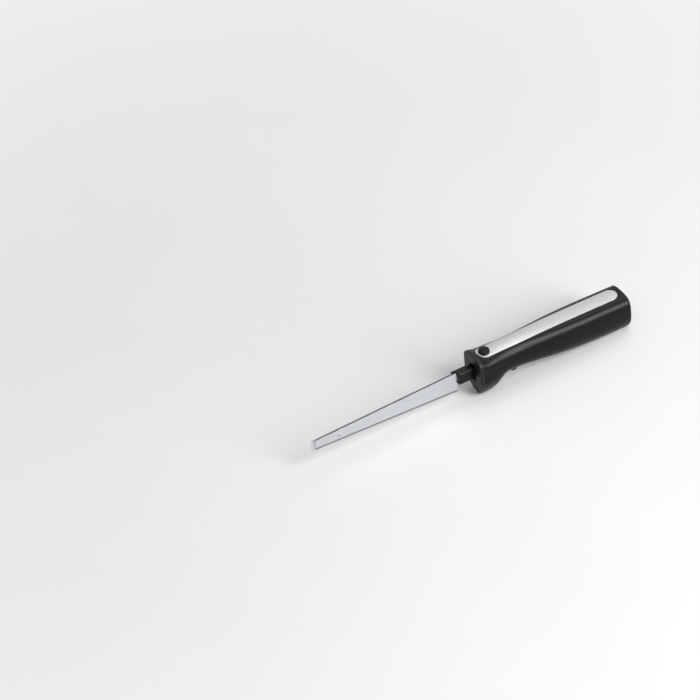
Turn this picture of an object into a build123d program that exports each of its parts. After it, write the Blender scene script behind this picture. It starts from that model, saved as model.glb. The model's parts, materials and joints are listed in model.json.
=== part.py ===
from build123d import *
from math import asin, atan2, cos, degrees, pi, radians, sin, sqrt, tan
import os

os.makedirs("parts", exist_ok=True)

# Electric carving knife, in millimetres. While it is drawn, X runs from the
# blade tips to the rear of the handle with X = 0 on the front face, Z = 0 lies
# on the blades' centre line, and Y = 0 on the joint of the two handle shells.
# +Y is the user's right. The finished pieces are then stood on their two flats.

# Handle
handle_length = 227.0
handle_top = 30.0
guard_depth = 33.0
handle_half_width = 20.9
wall = 2.5
rear_wall = 4.0
rear_round = 3.0
guard_flat = 0.5
belly_flat = 0.9
guard_flat_x = 9.0
belly_flat_x = 203.0

# Front face
nose_thickness = 5.5
nose_round = 1.4
seam_gap = 0.2
rake_height = 33.0
rake_back = 5.0
slot_half_width = 6.7
slot_bottom = 8.0
slot_top = 17.0
slot_corner = 2.5
rib_thickness = 2.0
motor_rib_shares = (0.30, 0.80)

# Steel strip on the top
inlay_half_width = 10.8
inlay_end_x = 218.3
inlay_depth = 0.9
inlay_proud = 0.15
inlay_gap = 0.05

# Release button
button_x = 18.5
button_radius = 7.4
button_proud = 4.0
button_dome = 0.9
button_edge = 0.6
button_travel = 3.0
button_gap = 0.25
button_seat_radius = 10.5
flange_radius = 8.8
flange_thickness = 1.6
flange_below = 4.0
stem_radius = 1.5
foot_reach = 5.0
foot_width = 3.0
foot_height = 2.0
spring_wire = 0.7
spring_radius = 5.9
spring_turns = 4

# Fits and overruns
fit = 0.04
body_gap = 0.3
seat_gap = 0.1
overrun = 5.0

# Blades
blade_length = 208.3
blade_thickness = 1.2
heel_top = 15.3
heel_bottom = 15.5
tip_top = 8.0
tip_bottom = 7.4
tip_round = 4.0
heel_x = -27.35
bevel_height = 3.6
edge_thickness = 0.3
scallop_pitch = 3.4
scallop_depth = 0.5
edge_start = 4.0
tang_bottom = 3.0
tang_top = 11.0
tang_length = 49.0
notch_width = 2.4
notch_depth = 1.4
rivet_x = -200.65
rivet_z = 1.0
rivet_radius = 1.1
rivet_head_radius = 2.2
rivet_head_height = 0.7
keyhole_radius = 2.6

# Hilts on the blades
hilt_setback = 1.2
hilt_length = 20.5
hilt_bottom = 2.0
hilt_top = 15.0
hilt_thickness = 6.0
hilt_round = 1.4
neck_thickness = 4.4
neck_bottom = 1.0
neck_top = 13.0

# Crank drive
crank_radius = 4.0
rest_offset = 2.65
pin_radius = 1.5
yoke_play = 0.15
wheel_x = 46.0
wheel_z = 0.8
wheel_teeth = 20
gear_module = 0.8
wheel_half_width = 1.6
worm_pitch_radius = 3.2
worm_start = 38.6
worm_end = 53.9
tooth_share = 0.72
pressure_angle = 20.0
axle_radius = 2.0
cheek_thickness = 1.4
crank_disc_radius = 6.0
crank_thickness = 1.5
yoke_thickness = 2.4
yoke_wall = 2.4

# Sliders and their guide
slider_front = 11.0
slider_length = 18.0
slider_bottom = 0.0
slider_top = 13.0
arm_bottom = 1.0
arm_top = 7.0
clip_thickness = 0.6
clip_length = 15.0
clip_start = 2.0
guide_front = 9.0
guide_rear = 33.0
guide_wall = 1.7
guide_headroom = 2.0

# Gear frame
frame_front = 34.5
frame_rear = 73.9
frame_wall = 2.5
rear_wall_x = 57.0
bridge_bottom = 17.0
bridge_thickness = 2.5
bridge_half_width = 10.0
cheek_bottom = 4.0
spring_tab_z = -1.0
spring_tab_half_width = 2.8
rear_wall_half_width = 9.0
front_wall_bottom = 6.0
motor_flange_radius = 13.0
motor_flange_bottom = 3.9
bush_radius = 3.0

# Motor
motor_z = 12.0
motor_front = 74.0
motor_radius = 14.0
can_wall = 1.2
can_length = 40.0
shaft_radius = 1.5
boss_radius = 5.0
boss_length = 2.5
magnet_thickness = 2.2
magnet_front = 85.0
magnet_length = 26.0
magnet_angle = 140.0
air_gap = 0.5
core_length = 22.0
core_teeth = 5
core_hub_radius = 4.5
tooth_width = 3.0
tooth_cap = 1.6
slot_opening = 1.6
winding_length = 2.6
fan_front = 77.0
fan_length = 4.5
fan_blades = 9
fan_blade_thickness = 0.9
fan_hub_radius = 4.0
fan_disc = 0.9
commutator_radius = 4.0
commutator_length = 7.0
commutator_bars = 10
bar_gap = 0.4
end_cap_length = 13.0
end_cap_wall = 1.6
end_cap_boss = 2.0
brush_length = 4.6
brush_width = 3.4
brush_height = 3.4
brush_gap = 0.1
holder_wall = 0.5
motor_bush_radius = 3.4
motor_bush_length = 2.4
motor_screw_y = 8.7

# Trigger and its switch
trigger_front = 54.9
trigger_length = 9.4
trigger_drop = 19.8
trigger_half_width = 3.6
trigger_round = 1.6
lever_top = 7.2
lever_thickness = 1.8
hinge_x = 82.0
hinge_z = -8.1
hinge_eye_radius = 2.6
hinge_pin_radius = 1.2
hinge_pin_half_length = 7.5
hinge_boss_radius = 2.9
hinge_boss_face = 4.2
trigger_turn = 7.0
trigger_gap = 0.6
return_wire = 0.45
return_radius = 1.9
return_turns = 4
return_x = 58.5
switch_front = 61.5
switch_length = 11.5
switch_half_width = 3.1
switch_bottom = 3.4
switch_top = 3.6
plunger_x = 66.5
plunger_radius = 1.0
plunger_inside = 2.6
plunger_gap = 0.15
peg_radius = 1.1
peg_boss_radius = 2.0
terminal_height = 2.8
peg_inset = 2.3
peg_rise = 1.4

# Electrics behind the motor
board_front = 134.0
board_length = 50.0
board_half_width = 12.4
board_thickness = 1.6
board_top = -4.4
rail_thickness = 2.0
rectifier_size = 10.0
rectifier_height = 3.6
capacitor_length = 16.0
capacitor_width = 7.6
capacitor_height = 11.5
capacitor_round = 0.6
choke_radius = 3.0
block_length = 9.0
block_half_width = 7.5
block_height = 8.0
lead_start_z = -2.3
lead_radius = 0.8
lead_bend = 2.4
lead_z = -3.6
lead_side_share = 0.65

# Cord inlet
inlet_z = 3.0
gland_bore = 3.5
gland_neck_radius = 4.7
gland_flange_radius = 6.5
gland_inner_length = 2.5
gland_outer_length = 3.0
clamp_x = 206.0
clamp_width = 6.0
clamp_reach = 9.5
clamp_thickness = 2.2
clamp_face = 3.6
clamp_post_radius = 2.6
clamp_pilot = 6.0

# Fasteners
boss_outer_radius = 3.2
screw_radius = 1.4
screw_head_radius = 2.9
screw_head_height = 2.0
screw_reach = 9.0
screw_seat = 9.0
small_screw_radius = 1.1
small_head_radius = 2.2
small_head_height = 1.5
drive_slot = 0.8

# Handle sections from front to rear, as shares of the handle's length, its top,
# the guard's depth and its half width, with the fullness of the two curves.
section_shares = [
    (0.0000, 1.060, 0.660, -0.100, 1.000, 1.000, 0.61, 0.40),
    (0.0310, 1.033, 0.630, -0.100, 1.000, 1.000, 0.61, 0.40),
    (0.0790, 0.973, 0.560, -0.060, 0.985, 0.987, 0.64, 0.42),
    (0.1100, 0.973, 0.530, 0.000, 0.925, 0.967, 0.66, 0.44),
    (0.1320, 0.982, 0.500, 0.070, 0.805, 0.952, 0.66, 0.48),
    (0.1500, 0.992, 0.480, 0.130, 0.640, 0.938, 0.66, 0.52),
    (0.1690, 1.002, 0.460, 0.190, 0.470, 0.926, 0.66, 0.55),
    (0.1980, 1.007, 0.430, 0.240, 0.372, 0.916, 0.66, 0.58),
    (0.2640, 1.010, 0.400, 0.250, 0.380, 0.922, 0.66, 0.58),
    (0.3960, 1.010, 0.370, 0.230, 0.474, 0.990, 0.75, 0.60),
    (0.5730, 1.005, 0.320, 0.180, 0.633, 1.085, 0.83, 0.61),
    (0.7490, 0.995, 0.270, 0.140, 0.725, 1.120, 0.84, 0.61),
    (0.9030, 0.985, 0.260, 0.130, 0.757, 1.110, 0.83, 0.61),
    (1.0000, 0.975, 0.260, 0.130, 0.745, 1.105, 0.82, 0.61),
]
section_steps = 27

# Screw posts as shares of the handle's length, and of its top above the blades
# or, where negative, of the guard's depth below them.
post_shares = [
    (0.053, -0.667),
    (0.291, 0.767),
    (0.432, -0.258),
    (0.560, -0.500),
    (0.925, 0.567),
    (0.925, -0.470),
]

# Worked-out sizes
stroke_per_turn = 2 * crank_radius / pi
crank_rest = asin(rest_offset / crank_radius)
yoke_lag = stroke_per_turn * crank_rest - rest_offset
steepest = asin(sqrt(1 - (2 / pi) ** 2))
yoke_spread = crank_radius * sin(steepest) - stroke_per_turn * steepest
yoke_half = pin_radius + yoke_play + yoke_spread
half_turn = pi / 2
forward_reach = stroke_per_turn * half_turn - yoke_lag
rearward_reach = stroke_per_turn * half_turn + yoke_lag
blade_face = body_gap / 2
worm_outer_radius = worm_pitch_radius + gear_module
worm_root_radius = worm_pitch_radius - 1.2 * gear_module
wheel_pitch_radius = gear_module * wheel_teeth / 2
worm_pitch = pi * gear_module
cheek_inner = wheel_half_width + body_gap
cheek_outer = cheek_inner + cheek_thickness
disc_inner = cheek_outer + body_gap
disc_outer = disc_inner + crank_thickness
yoke_inner = disc_outer + body_gap
yoke_outer = yoke_inner + yoke_thickness
pin_end = yoke_outer - yoke_play
guide_inner = yoke_outer + body_gap
guide_outer = guide_inner + guide_wall
guide_top = slider_top + guide_headroom
motor_rear = motor_front + can_length
cap_rear = motor_rear + end_cap_length
armature_radius = motor_radius - can_wall - magnet_thickness - air_gap
fan_radius = motor_radius - can_wall - air_gap
trigger_sweep = (trigger_drop + hinge_z) * sin(radians(trigger_turn))
belly_share = section_shares[-2][4]
rest_tilt = degrees(atan2(
    guard_depth - guard_flat - (guard_depth * belly_share - belly_flat),
    belly_flat_x - guard_flat_x,
))


def across(x):
    """Plane across the handle at x, its own axes along Y and Z."""
    return Plane(origin=(x, 0, 0), x_dir=(0, 1, 0), z_dir=(1, 0, 0))


def along(y):
    """Plane along the handle at y, its own axes along X and Z, facing +Y."""
    return Plane(origin=(0, y, 0), x_dir=(-1, 0, 0), z_dir=(0, 1, 0))


def slab(x_low, x_high, y_low, y_high, z_low, z_high):
    """Block between two corners."""
    with BuildPart() as block:
        with BuildSketch(Plane.XY.offset(z_low)):
            with Locations(((x_low + x_high) / 2, (y_low + y_high) / 2)):
                Rectangle(x_high - x_low, y_high - y_low)
        extrude(amount=z_high - z_low)
    return block.part


def rod(radius, x, z, y_low, y_high):
    """Round bar along Y."""
    with BuildPart() as bar:
        with BuildSketch(along(y_low)):
            with Locations((-x, z)):
                Circle(radius)
        extrude(amount=y_high - y_low)
    return bar.part


def shaft(radius, x_low, x_high, z, y=0.0):
    """Round bar along X."""
    with BuildPart() as bar:
        with BuildSketch(across(x_low)):
            with Locations((y, z)):
                Circle(radius)
        extrude(amount=x_high - x_low)
    return bar.part


def post(radius, x, y, z_low, z_high):
    """Round bar along Z."""
    with BuildPart() as bar:
        with BuildSketch(Plane.XY.offset(z_low)):
            with Locations((x, y)):
                Circle(radius)
        extrude(amount=z_high - z_low)
    return bar.part


def half_section(shares, inset):
    """Right half of one handle section: a crown, a straight side and a belly curve."""
    x_share, top_share, high_share, low_share, bottom_share, width_share, crown, belly = shares
    high = handle_top * high_share
    low = handle_top * low_share
    top = handle_top * top_share - inset
    bottom = -guard_depth * bottom_share + inset
    width = handle_half_width * width_share - inset
    with BuildLine() as half:
        Bezier((0, top), (crown * width, top), (width, high + crown * (top - high)), (width, high))
        Line((width, high), (width, low))
        Bezier((width, low), (width, low + belly * (bottom - low)), (belly * width, bottom), (0, bottom))
        Line((0, bottom), (0, top))
    return half.line


def slopes(rows, column):
    """Slopes of one column of the table, flat where it turns."""
    grades = [
        (after[column] - before[column]) / (after[0] - before[0])
        for before, after in zip(rows, rows[1:])
    ]
    inside = [
        0 if before * after <= 0 else 2 * before * after / (before + after)
        for before, after in zip(grades, grades[1:])
    ]
    return [grades[0]] + inside + [grades[-1]]


section_slopes = [slopes(section_shares, column) for column in range(len(section_shares[0]))]


def section_at(share):
    """The table's row at one share of the handle's length, on a smooth curve."""
    index = max(i for i, row in enumerate(section_shares[:-1]) if row[0] <= share)
    before = section_shares[index]
    after = section_shares[index + 1]
    span = after[0] - before[0]
    t = (share - before[0]) / span
    row = []
    for column in range(len(before)):
        start = section_slopes[column][index] * span
        stop = section_slopes[column][index + 1] * span
        step = after[column] - before[column]
        bend = (3 * step - 2 * start - stop) * t ** 2
        row.append(before[column] + start * t + bend + (start + stop - 2 * step) * t ** 3)
    return row


def handle_form(inset):
    """Right half of the handle's form, drawn in by the inset all round."""
    with BuildPart() as form:
        for step in range(section_steps + 1):
            share = step / section_steps
            with BuildSketch(across(handle_length * share)):
                with BuildLine():
                    add(half_section(section_at(share), inset))
                make_face()
        loft()
    return form.part


def front_region(setback):
    """Everything ahead of the raked front face moved back by the setback."""
    rake_radius = (rake_back ** 2 + rake_height ** 2) / (2 * rake_back)
    reach = rake_radius - setback
    low = guard_depth + overrun
    high = handle_top * section_shares[0][1] + overrun
    half = reach * sin(asin(low / reach) / 2)
    with BuildPart() as region:
        with BuildSketch(Plane.XZ):
            with BuildLine():
                face_top = (setback, high)
                face_turn = (setback, 0)
                face_mid = (rake_radius - sqrt(reach ** 2 - half ** 2), -half)
                face_low = (rake_radius - sqrt(reach ** 2 - low ** 2), -low)
                Line(face_top, face_turn)
                ThreePointArc(face_turn, face_mid, face_low)
                Polyline(face_low, (-overrun, -low), (-overrun, high), face_top)
            make_face()
        extrude(amount=handle_half_width + overrun, both=True)
    return region.part


# Common forms: the right half of the handle's outside and of its inside
with BuildPart() as outer_right:
    add(handle_form(0))
    rear_edges = outer_right.faces().sort_by(Axis.X)[-1].edges().filter_by(
        lambda edge: edge.center().Y > fit
    )
    fillet(rear_edges, rear_round)

with BuildPart() as inner_right:
    add(handle_form(wall))
    with BuildSketch(across(handle_length - rear_wall)):
        Rectangle(4 * handle_half_width, 4 * handle_half_width)
    extrude(amount=rear_wall + overrun, mode=Mode.SUBTRACT)

# Stand: the plane through the guard's flat and the belly's flat
rest_low = -guard_depth + guard_flat
with BuildPart() as under_rest:
    with BuildSketch(Plane.XZ):
        with BuildLine():
            rise = tan(radians(rest_tilt))
            front_x = -overrun
            rear_x = handle_length + overrun
            front_z = rest_low + (front_x - guard_flat_x) * rise
            rear_z = rest_low + (rear_x - guard_flat_x) * rise
            Polyline((front_x, front_z), (rear_x, rear_z), (rear_x, rest_low - guard_depth),
                     (front_x, rest_low - guard_depth), (front_x, front_z))
        make_face()
    extrude(amount=handle_half_width + overrun, both=True)

# Steel strip
inlay_start = button_x
inlay_stop = inlay_end_x - inlay_half_width


def strip_form(grow, hole_radius):
    """The strip's outline as an upright prism."""
    with BuildPart() as prism:
        with BuildSketch(Plane.XY.offset(handle_top / 2)):
            with Locations(((inlay_start + inlay_stop) / 2, 0)):
                SlotCenterToCenter(inlay_stop - inlay_start, 2 * (inlay_half_width + grow))
            if hole_radius:
                with Locations((button_x, 0)):
                    Circle(hole_radius, mode=Mode.SUBTRACT)
        extrude(amount=handle_top)
    return prism.part


button_hole = button_radius + button_gap
with BuildPart() as top_inlay:
    add(strip_form(0, button_hole))
    with Locations((0, 0, inlay_proud)):
        add(outer_right.part, mode=Mode.INTERSECT)
    with Locations((0, 0, -inlay_depth)):
        add(outer_right.part, mode=Mode.SUBTRACT)
    mirror(about=Plane.XZ)

with BuildPart() as strip_pocket:
    add(strip_form(inlay_gap, 0))
    add(slab(-overrun, handle_length, -handle_half_width, 0, 0, 2 * handle_top), mode=Mode.SUBTRACT)
    with Locations((0, 0, -inlay_depth)):
        add(outer_right.part, mode=Mode.SUBTRACT)

# Nose plate, its front edge rounded all the way but at the level line where the rake starts
rib_reach = handle_half_width + overrun
with BuildPart() as nose_plate:
    add(outer_right.part)
    add(front_region(nose_thickness), mode=Mode.INTERSECT)
    add(front_region(0), mode=Mode.SUBTRACT)
    add(under_rest.part, mode=Mode.SUBTRACT)
    mirror(about=Plane.XZ)
    with BuildSketch(across(-overrun)):
        with Locations((0, (slot_top - slot_bottom) / 2)):
            RectangleRounded(2 * slot_half_width, slot_top + slot_bottom, slot_corner)
    extrude(amount=nose_thickness + 2 * overrun, mode=Mode.SUBTRACT)
    front_faces = nose_plate.faces().filter_by(
        lambda face: face.normal_at().X < 0 and face.center().X < nose_thickness / 2
    )
    front_edges = [
        edge for face in front_faces for edge in face.outer_wire().edges()
        if max(abs(edge.center().Z), abs(edge.bounding_box().size.Z)) > seam_gap
        and (abs(edge.center().Y) > slot_half_width + seam_gap or edge.center().Z < -slot_bottom - wall)
    ]
    fillet(front_edges, nose_round)

# Ribs, rails, shelves and bosses inside the right half, before the handle's form trims them
guide_low = slider_bottom - body_gap - guide_wall
guide_high = guide_top + guide_wall


def ribs(places, thickness):
    """Walls across the right half of the handle."""
    walls = [slab(x, x + thickness, 0, rib_reach, -guard_depth, handle_top + overrun) for x in places]
    return walls


with BuildPart() as guide_ribs:
    add(ribs((guide_front + rib_thickness, guide_rear - 2 * rib_thickness), rib_thickness))
    add(slab(guide_front, guide_rear, 0, guide_outer + seat_gap, guide_low - seat_gap,
             guide_high + seat_gap), mode=Mode.SUBTRACT)
    add(post(button_seat_radius, button_x, 0, guide_high, handle_top), mode=Mode.SUBTRACT)

with BuildPart() as frame_ribs:
    add(ribs((wheel_x - 2 * rib_thickness, switch_front + seat_gap), rib_thickness))
    add(slab(frame_front, frame_rear, 0, guide_inner, -guard_depth, handle_top), mode=Mode.SUBTRACT)
    add(slab(frame_front, frame_rear, 0, bridge_half_width + seat_gap, bridge_bottom - seat_gap,
             bridge_bottom + bridge_thickness + seat_gap), mode=Mode.SUBTRACT)

lead_y = motor_radius * lead_side_share
with BuildPart() as motor_ribs:
    add(ribs([motor_front + can_length * share for share in motor_rib_shares], rib_thickness))
    add(shaft(motor_radius + seat_gap, motor_front, motor_rear, motor_z), mode=Mode.SUBTRACT)
    add(slab(motor_front, motor_rear, lead_y - 2 * lead_radius, lead_y + 2 * lead_radius,
             lead_z - 2 * lead_radius, lead_z + 2 * lead_radius), mode=Mode.SUBTRACT)

board_rear = board_front + board_length
board_bottom = board_top - board_thickness
with BuildPart() as board_rails:
    add(ribs((board_front + 2 * rail_thickness, board_rear - 3 * rail_thickness), rail_thickness))
    add(slab(board_front, board_rear, 0, board_half_width - rail_thickness, board_bottom,
             handle_top + overrun), mode=Mode.SUBTRACT)
    add(slab(board_front, board_rear, 0, board_half_width + seat_gap, board_bottom,
             board_top + seat_gap), mode=Mode.SUBTRACT)
    add(slab(board_front, board_rear, 0, rib_reach, board_top + 2 * rail_thickness,
             handle_top + overrun), mode=Mode.SUBTRACT)

# Screw posts, hinge boss and switch bosses, each from the middle to the wall
post_places = [
    (handle_length * x_share, (handle_top if z_share > 0 else guard_depth) * z_share)
    for x_share, z_share in post_shares
]
switch_rear = switch_front + switch_length
switch_middle = (switch_top - switch_bottom) / 2
peg_places = [
    (switch_front + peg_inset, switch_middle + peg_rise),
    (switch_rear - peg_inset, switch_middle + peg_rise),
]
with BuildPart() as inside_work:
    for block in (guide_ribs, frame_ribs, motor_ribs, board_rails):
        add(block.part)
    for x, z in post_places:
        add(rod(boss_outer_radius, x, z, 0, rib_reach))
    for x, z in peg_places:
        add(rod(peg_boss_radius, x, z, switch_half_width, rib_reach))
    add(rod(hinge_boss_radius, hinge_x, hinge_z, hinge_boss_face, rib_reach))
    add(post(button_seat_radius, button_x, 0, handle_top - flange_below - body_gap, handle_top))

# Right half of the hollow, and the cuts that both shells share
with BuildPart() as hollow:
    add(inner_right.part)
    add(inside_work.part, mode=Mode.SUBTRACT)

trigger_rear = trigger_front + trigger_length
with BuildPart() as half_shell:
    add(outer_right.part)
    add(front_region(nose_thickness + seam_gap), mode=Mode.SUBTRACT)
    add(hollow.part, mode=Mode.SUBTRACT)
    add(under_rest.part, mode=Mode.SUBTRACT)
    add(strip_pocket.part, mode=Mode.SUBTRACT)
    add(post(button_hole, button_x, 0, 0, handle_top + overrun), mode=Mode.SUBTRACT)
    add(slab(trigger_front - trigger_sweep - trigger_gap, trigger_rear + trigger_gap,
             -trigger_half_width - trigger_gap, trigger_half_width + trigger_gap,
             -trigger_drop - overrun, -lever_top), mode=Mode.SUBTRACT)
    add(shaft(gland_neck_radius, handle_length - rear_wall - overrun, handle_length + overrun,
              inlet_z), mode=Mode.SUBTRACT)
    add(rod(hinge_pin_radius, hinge_x, hinge_z, -hinge_pin_half_length, hinge_pin_half_length),
        mode=Mode.SUBTRACT)

# Right shell, with the recesses for the screws' heads
with BuildPart() as handle_shell_right:
    add(half_shell.part)
    for x, z in post_places:
        add(rod(screw_radius + seat_gap, x, z, -overrun, rib_reach), mode=Mode.SUBTRACT)
        add(rod(screw_head_radius + seat_gap, x, z, screw_seat, rib_reach), mode=Mode.SUBTRACT)

# Left shell, with the screws' pilot holes, the switch's pegs and the clamp's posts
clamp_places = [(clamp_x, inlet_z - clamp_reach * 2 / 3), (clamp_x, inlet_z + clamp_reach * 2 / 3)]
with BuildPart() as handle_shell_left:
    add(half_shell.part.mirror(Plane.XZ))
    for x, z in peg_places:
        add(rod(peg_radius, x, z, -switch_half_width - wall, switch_half_width))
    for x, z in clamp_places:
        add(rod(clamp_post_radius, x, z, -handle_half_width, clamp_face))
        add(rod(small_screw_radius, x, z, clamp_face - clamp_pilot, clamp_face), mode=Mode.SUBTRACT)
    for x, z in post_places:
        add(rod(screw_radius, x, z, -screw_reach, 0), mode=Mode.SUBTRACT)


def upright(y):
    """Plane along the handle at y, its own axes along X and Z; it extrudes towards -Y."""
    return Plane(origin=(0, y, 0), x_dir=(1, 0, 0), z_dir=(0, -1, 0))


def on_side(part, side):
    """A right-hand moving piece, drawn at mid stroke, put where it stands at rest."""
    turned = part if side > 0 else part.mirror(Plane.XZ)
    return Pos(-side * rest_offset, 0, 0) * turned


# Blades
tip_x = heel_x - blade_length
tang_end = heel_x + tang_length
blade_outer = blade_face + blade_thickness
notch_x = slider_front + clip_start + notch_width
slot_half = rivet_radius + yoke_play


def blade(side):
    """One blade with its scalloped edge, its bevel and its tang."""
    edge_run = blade_length - 2 * edge_start
    scallops = int(edge_run / scallop_pitch)
    fall = (heel_bottom - tip_bottom) / blade_length

    def edge_point(distance, raised=0.0):
        return (tip_x + distance, -tip_bottom - fall * distance + raised)

    with BuildPart() as steel:
        with BuildSketch(upright(blade_outer)):
            with BuildLine():
                first = edge_point(edge_start)
                Line(edge_point(0), first)
                for i in range(scallops):
                    start = edge_start + i * edge_run / scallops
                    stop = edge_start + (i + 1) * edge_run / scallops
                    ThreePointArc(edge_point(start), edge_point((start + stop) / 2, scallop_depth),
                                  edge_point(stop))
                Polyline(edge_point(blade_length - edge_start), (heel_x, -heel_bottom),
                         (heel_x, tang_bottom), (tang_end, tang_bottom), (tang_end, tang_top),
                         (heel_x, tang_top), (heel_x, heel_top), (tip_x, tip_top), edge_point(0))
            make_face()
            fillet(vertices().group_by(Axis.X)[0].sort_by(Axis.Y)[-1], tip_round)
        extrude(amount=blade_thickness)
        with BuildSketch(Plane(origin=(heel_x, 0, -heel_bottom), x_dir=(0, 1, 0),
                               z_dir=(-blade_length, 0, heel_bottom - tip_bottom))):
            with BuildLine():
                edge_y = blade_face + edge_thickness
                outside = blade_outer + overrun
                Polyline((blade_outer, -bevel_height), (edge_y, 0), (edge_y, overrun),
                         (outside, overrun), (outside, -bevel_height), (blade_outer, -bevel_height))
            make_face()
        extrude(amount=blade_length + overrun, mode=Mode.SUBTRACT)
        add(slab(notch_x, notch_x + notch_width, 0, blade_outer, tang_top - notch_depth,
                 tang_top), mode=Mode.SUBTRACT)
        if side > 0:
            front = rivet_x - 2 * rearward_reach - slot_half
            rear = rivet_x + 2 * forward_reach + slot_half
            with BuildSketch(upright(blade_outer)):
                with Locations(((front + rear) / 2, rivet_z)):
                    SlotOverall(rear - front, 2 * slot_half)
                with Locations((front - keyhole_radius / 2, rivet_z)):
                    Circle(keyhole_radius)
            extrude(amount=blade_thickness, mode=Mode.SUBTRACT)
        else:
            add(rod(rivet_radius, rivet_x, rivet_z, 0, blade_outer), mode=Mode.SUBTRACT)
    return on_side(steel.part, side)


with BuildPart() as blade_left:
    add(blade(-1))

with BuildPart() as blade_right:
    add(blade(1))

rivet_rest = rivet_x + rest_offset
rivet_far = blade_outer + 2 * yoke_play
with BuildPart() as tip_rivet:
    add(rod(rivet_head_radius, rivet_rest, rivet_z, -blade_outer - rivet_head_height, -blade_outer))
    fillet(tip_rivet.edges().sort_by(Axis.Y)[0], rivet_head_height * 0.8)
    add(rod(rivet_radius, rivet_rest, rivet_z, -blade_outer, rivet_far))
    add(rod(rivet_head_radius, rivet_rest, rivet_z, rivet_far, rivet_far + rivet_head_height))

# Hilts
hilt_front = heel_x + hilt_setback
hilt_rear = hilt_front + hilt_length


def hilt(side):
    """Black collar round one blade's tang, with the neck that enters the handle."""
    with BuildPart() as collar:
        add(slab(hilt_front, hilt_rear, blade_face, blade_face + hilt_thickness,
                 -hilt_bottom, hilt_top))
        outside = collar.faces().sort_by(Axis.Y)[-1]
        fillet(outside.edges(), hilt_round)
        add(slab(hilt_rear - hilt_round, slider_front, blade_face, blade_outer + neck_thickness,
                 neck_bottom, neck_top))
        add(slab(hilt_front, slider_front, 0, blade_outer, tang_bottom, tang_top),
            mode=Mode.SUBTRACT)
    return on_side(collar.part, side)


with BuildPart() as hilt_left:
    add(hilt(-1))

with BuildPart() as hilt_right:
    add(hilt(1))

# Sliders with their yokes, and the latch clips
slider_rear = slider_front + slider_length
yoke_rise = crank_radius + pin_radius + yoke_play


def slider(side):
    """Slider that carries one tang, with the arm and the yoke that its crank drives."""
    yoke_x = wheel_x - side * yoke_lag
    with BuildPart() as runner:
        add(slab(slider_front, slider_rear, blade_face, yoke_outer, slider_bottom, slider_top))
        add(slab(slider_rear - wall, yoke_x, yoke_inner, yoke_outer, arm_bottom, arm_top))
        add(slab(yoke_x - yoke_half - yoke_wall, yoke_x + yoke_half + yoke_wall, yoke_inner,
                 yoke_outer, wheel_z - yoke_rise - yoke_wall / 2, wheel_z + yoke_rise + yoke_wall / 2))
        add(slab(yoke_x - yoke_half, yoke_x + yoke_half, yoke_inner, yoke_outer,
                 wheel_z - yoke_rise, wheel_z + yoke_rise), mode=Mode.SUBTRACT)
        add(slab(slider_front, tang_end, 0, blade_outer, tang_bottom, tang_top), mode=Mode.SUBTRACT)
        add(slab(notch_x, notch_x + notch_width, 0, blade_outer, tang_bottom, slider_top),
            mode=Mode.SUBTRACT)
    return on_side(runner.part, side)


def latch_clip(side):
    """Spring clip on the slider, its hook in the tang's notch."""
    clip_front = slider_front + clip_start
    with BuildPart() as clip:
        add(slab(clip_front, clip_front + clip_length, blade_face, foot_reach, slider_top,
                 slider_top + clip_thickness))
        add(slab(notch_x + seat_gap, notch_x + notch_width - seat_gap, blade_face,
                 blade_outer - seat_gap, tang_top - notch_depth + seat_gap, slider_top))
    return on_side(clip.part, side)


with BuildPart() as drive_slider_left:
    add(slider(-1))

with BuildPart() as drive_slider_right:
    add(slider(1))

with BuildPart() as latch_clip_left:
    add(latch_clip(-1))

with BuildPart() as latch_clip_right:
    add(latch_clip(1))

# Guide box round the sliders
with BuildPart() as slider_guide:
    add(slab(guide_front, guide_rear, -guide_outer, guide_outer, guide_low, guide_high))
    add(slab(guide_front, guide_rear, -guide_inner, guide_inner, slider_bottom - body_gap,
             guide_top), mode=Mode.SUBTRACT)
    add(slab(button_x - foot_width / 2 - body_gap, button_x + foot_width / 2 + body_gap,
             -foot_reach - body_gap, foot_reach + body_gap, guide_top, guide_high),
        mode=Mode.SUBTRACT)

# Release button, its stem and its foot
button_line = handle_top * section_at(button_x / handle_length)[1]
button_top = button_line + button_proud
flange_top = handle_top - flange_below - 2 * body_gap
flange_bottom = flange_top - flange_thickness
foot_bottom = slider_top + clip_thickness + body_gap + button_travel
foot_top = foot_bottom + foot_height
with BuildPart() as release_button:
    with BuildSketch(Plane(origin=(button_x, 0, 0), x_dir=(1, 0, 0), z_dir=(0, -1, 0))):
        with BuildLine():
            rim = button_radius - button_edge
            crown_z = button_top - button_dome
            ThreePointArc((0, button_top), (rim / 2, button_top - button_dome / 4), (rim, crown_z))
            edge_mid = button_edge * cos(pi / 4)
            ThreePointArc((rim, crown_z),
                          (rim + edge_mid, crown_z - button_edge + edge_mid),
                          (button_radius, crown_z - button_edge))
            Polyline((button_radius, crown_z - button_edge), (button_radius, flange_top),
                     (flange_radius, flange_top), (flange_radius, flange_bottom),
                     (stem_radius, flange_bottom), (stem_radius, foot_top), (0, foot_top),
                     (0, button_top))
        make_face()
    revolve(axis=Axis((button_x, 0, 0), (0, 0, 1)))
    add(slab(button_x - foot_width / 2, button_x + foot_width / 2, -foot_reach, foot_reach,
             foot_bottom, foot_top))


def coil_spring(x, z_low, z_high, radius, wire, turns):
    """Upright coil spring between two seats, one unbroken wire."""
    rise = z_high - z_low - wire
    with BuildPart() as coil:
        with BuildLine():
            path = Helix(rise / turns, rise, radius, center=(x, 0, z_low + wire / 2))
        with BuildSketch(Plane(origin=path @ 0, z_dir=path % 0)):
            Circle(wire / 2)
        sweep(path=path, is_frenet=True)
    return coil.part


with BuildPart() as button_spring:
    add(coil_spring(button_x, guide_high, flange_bottom, spring_radius, spring_wire, spring_turns))

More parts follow.
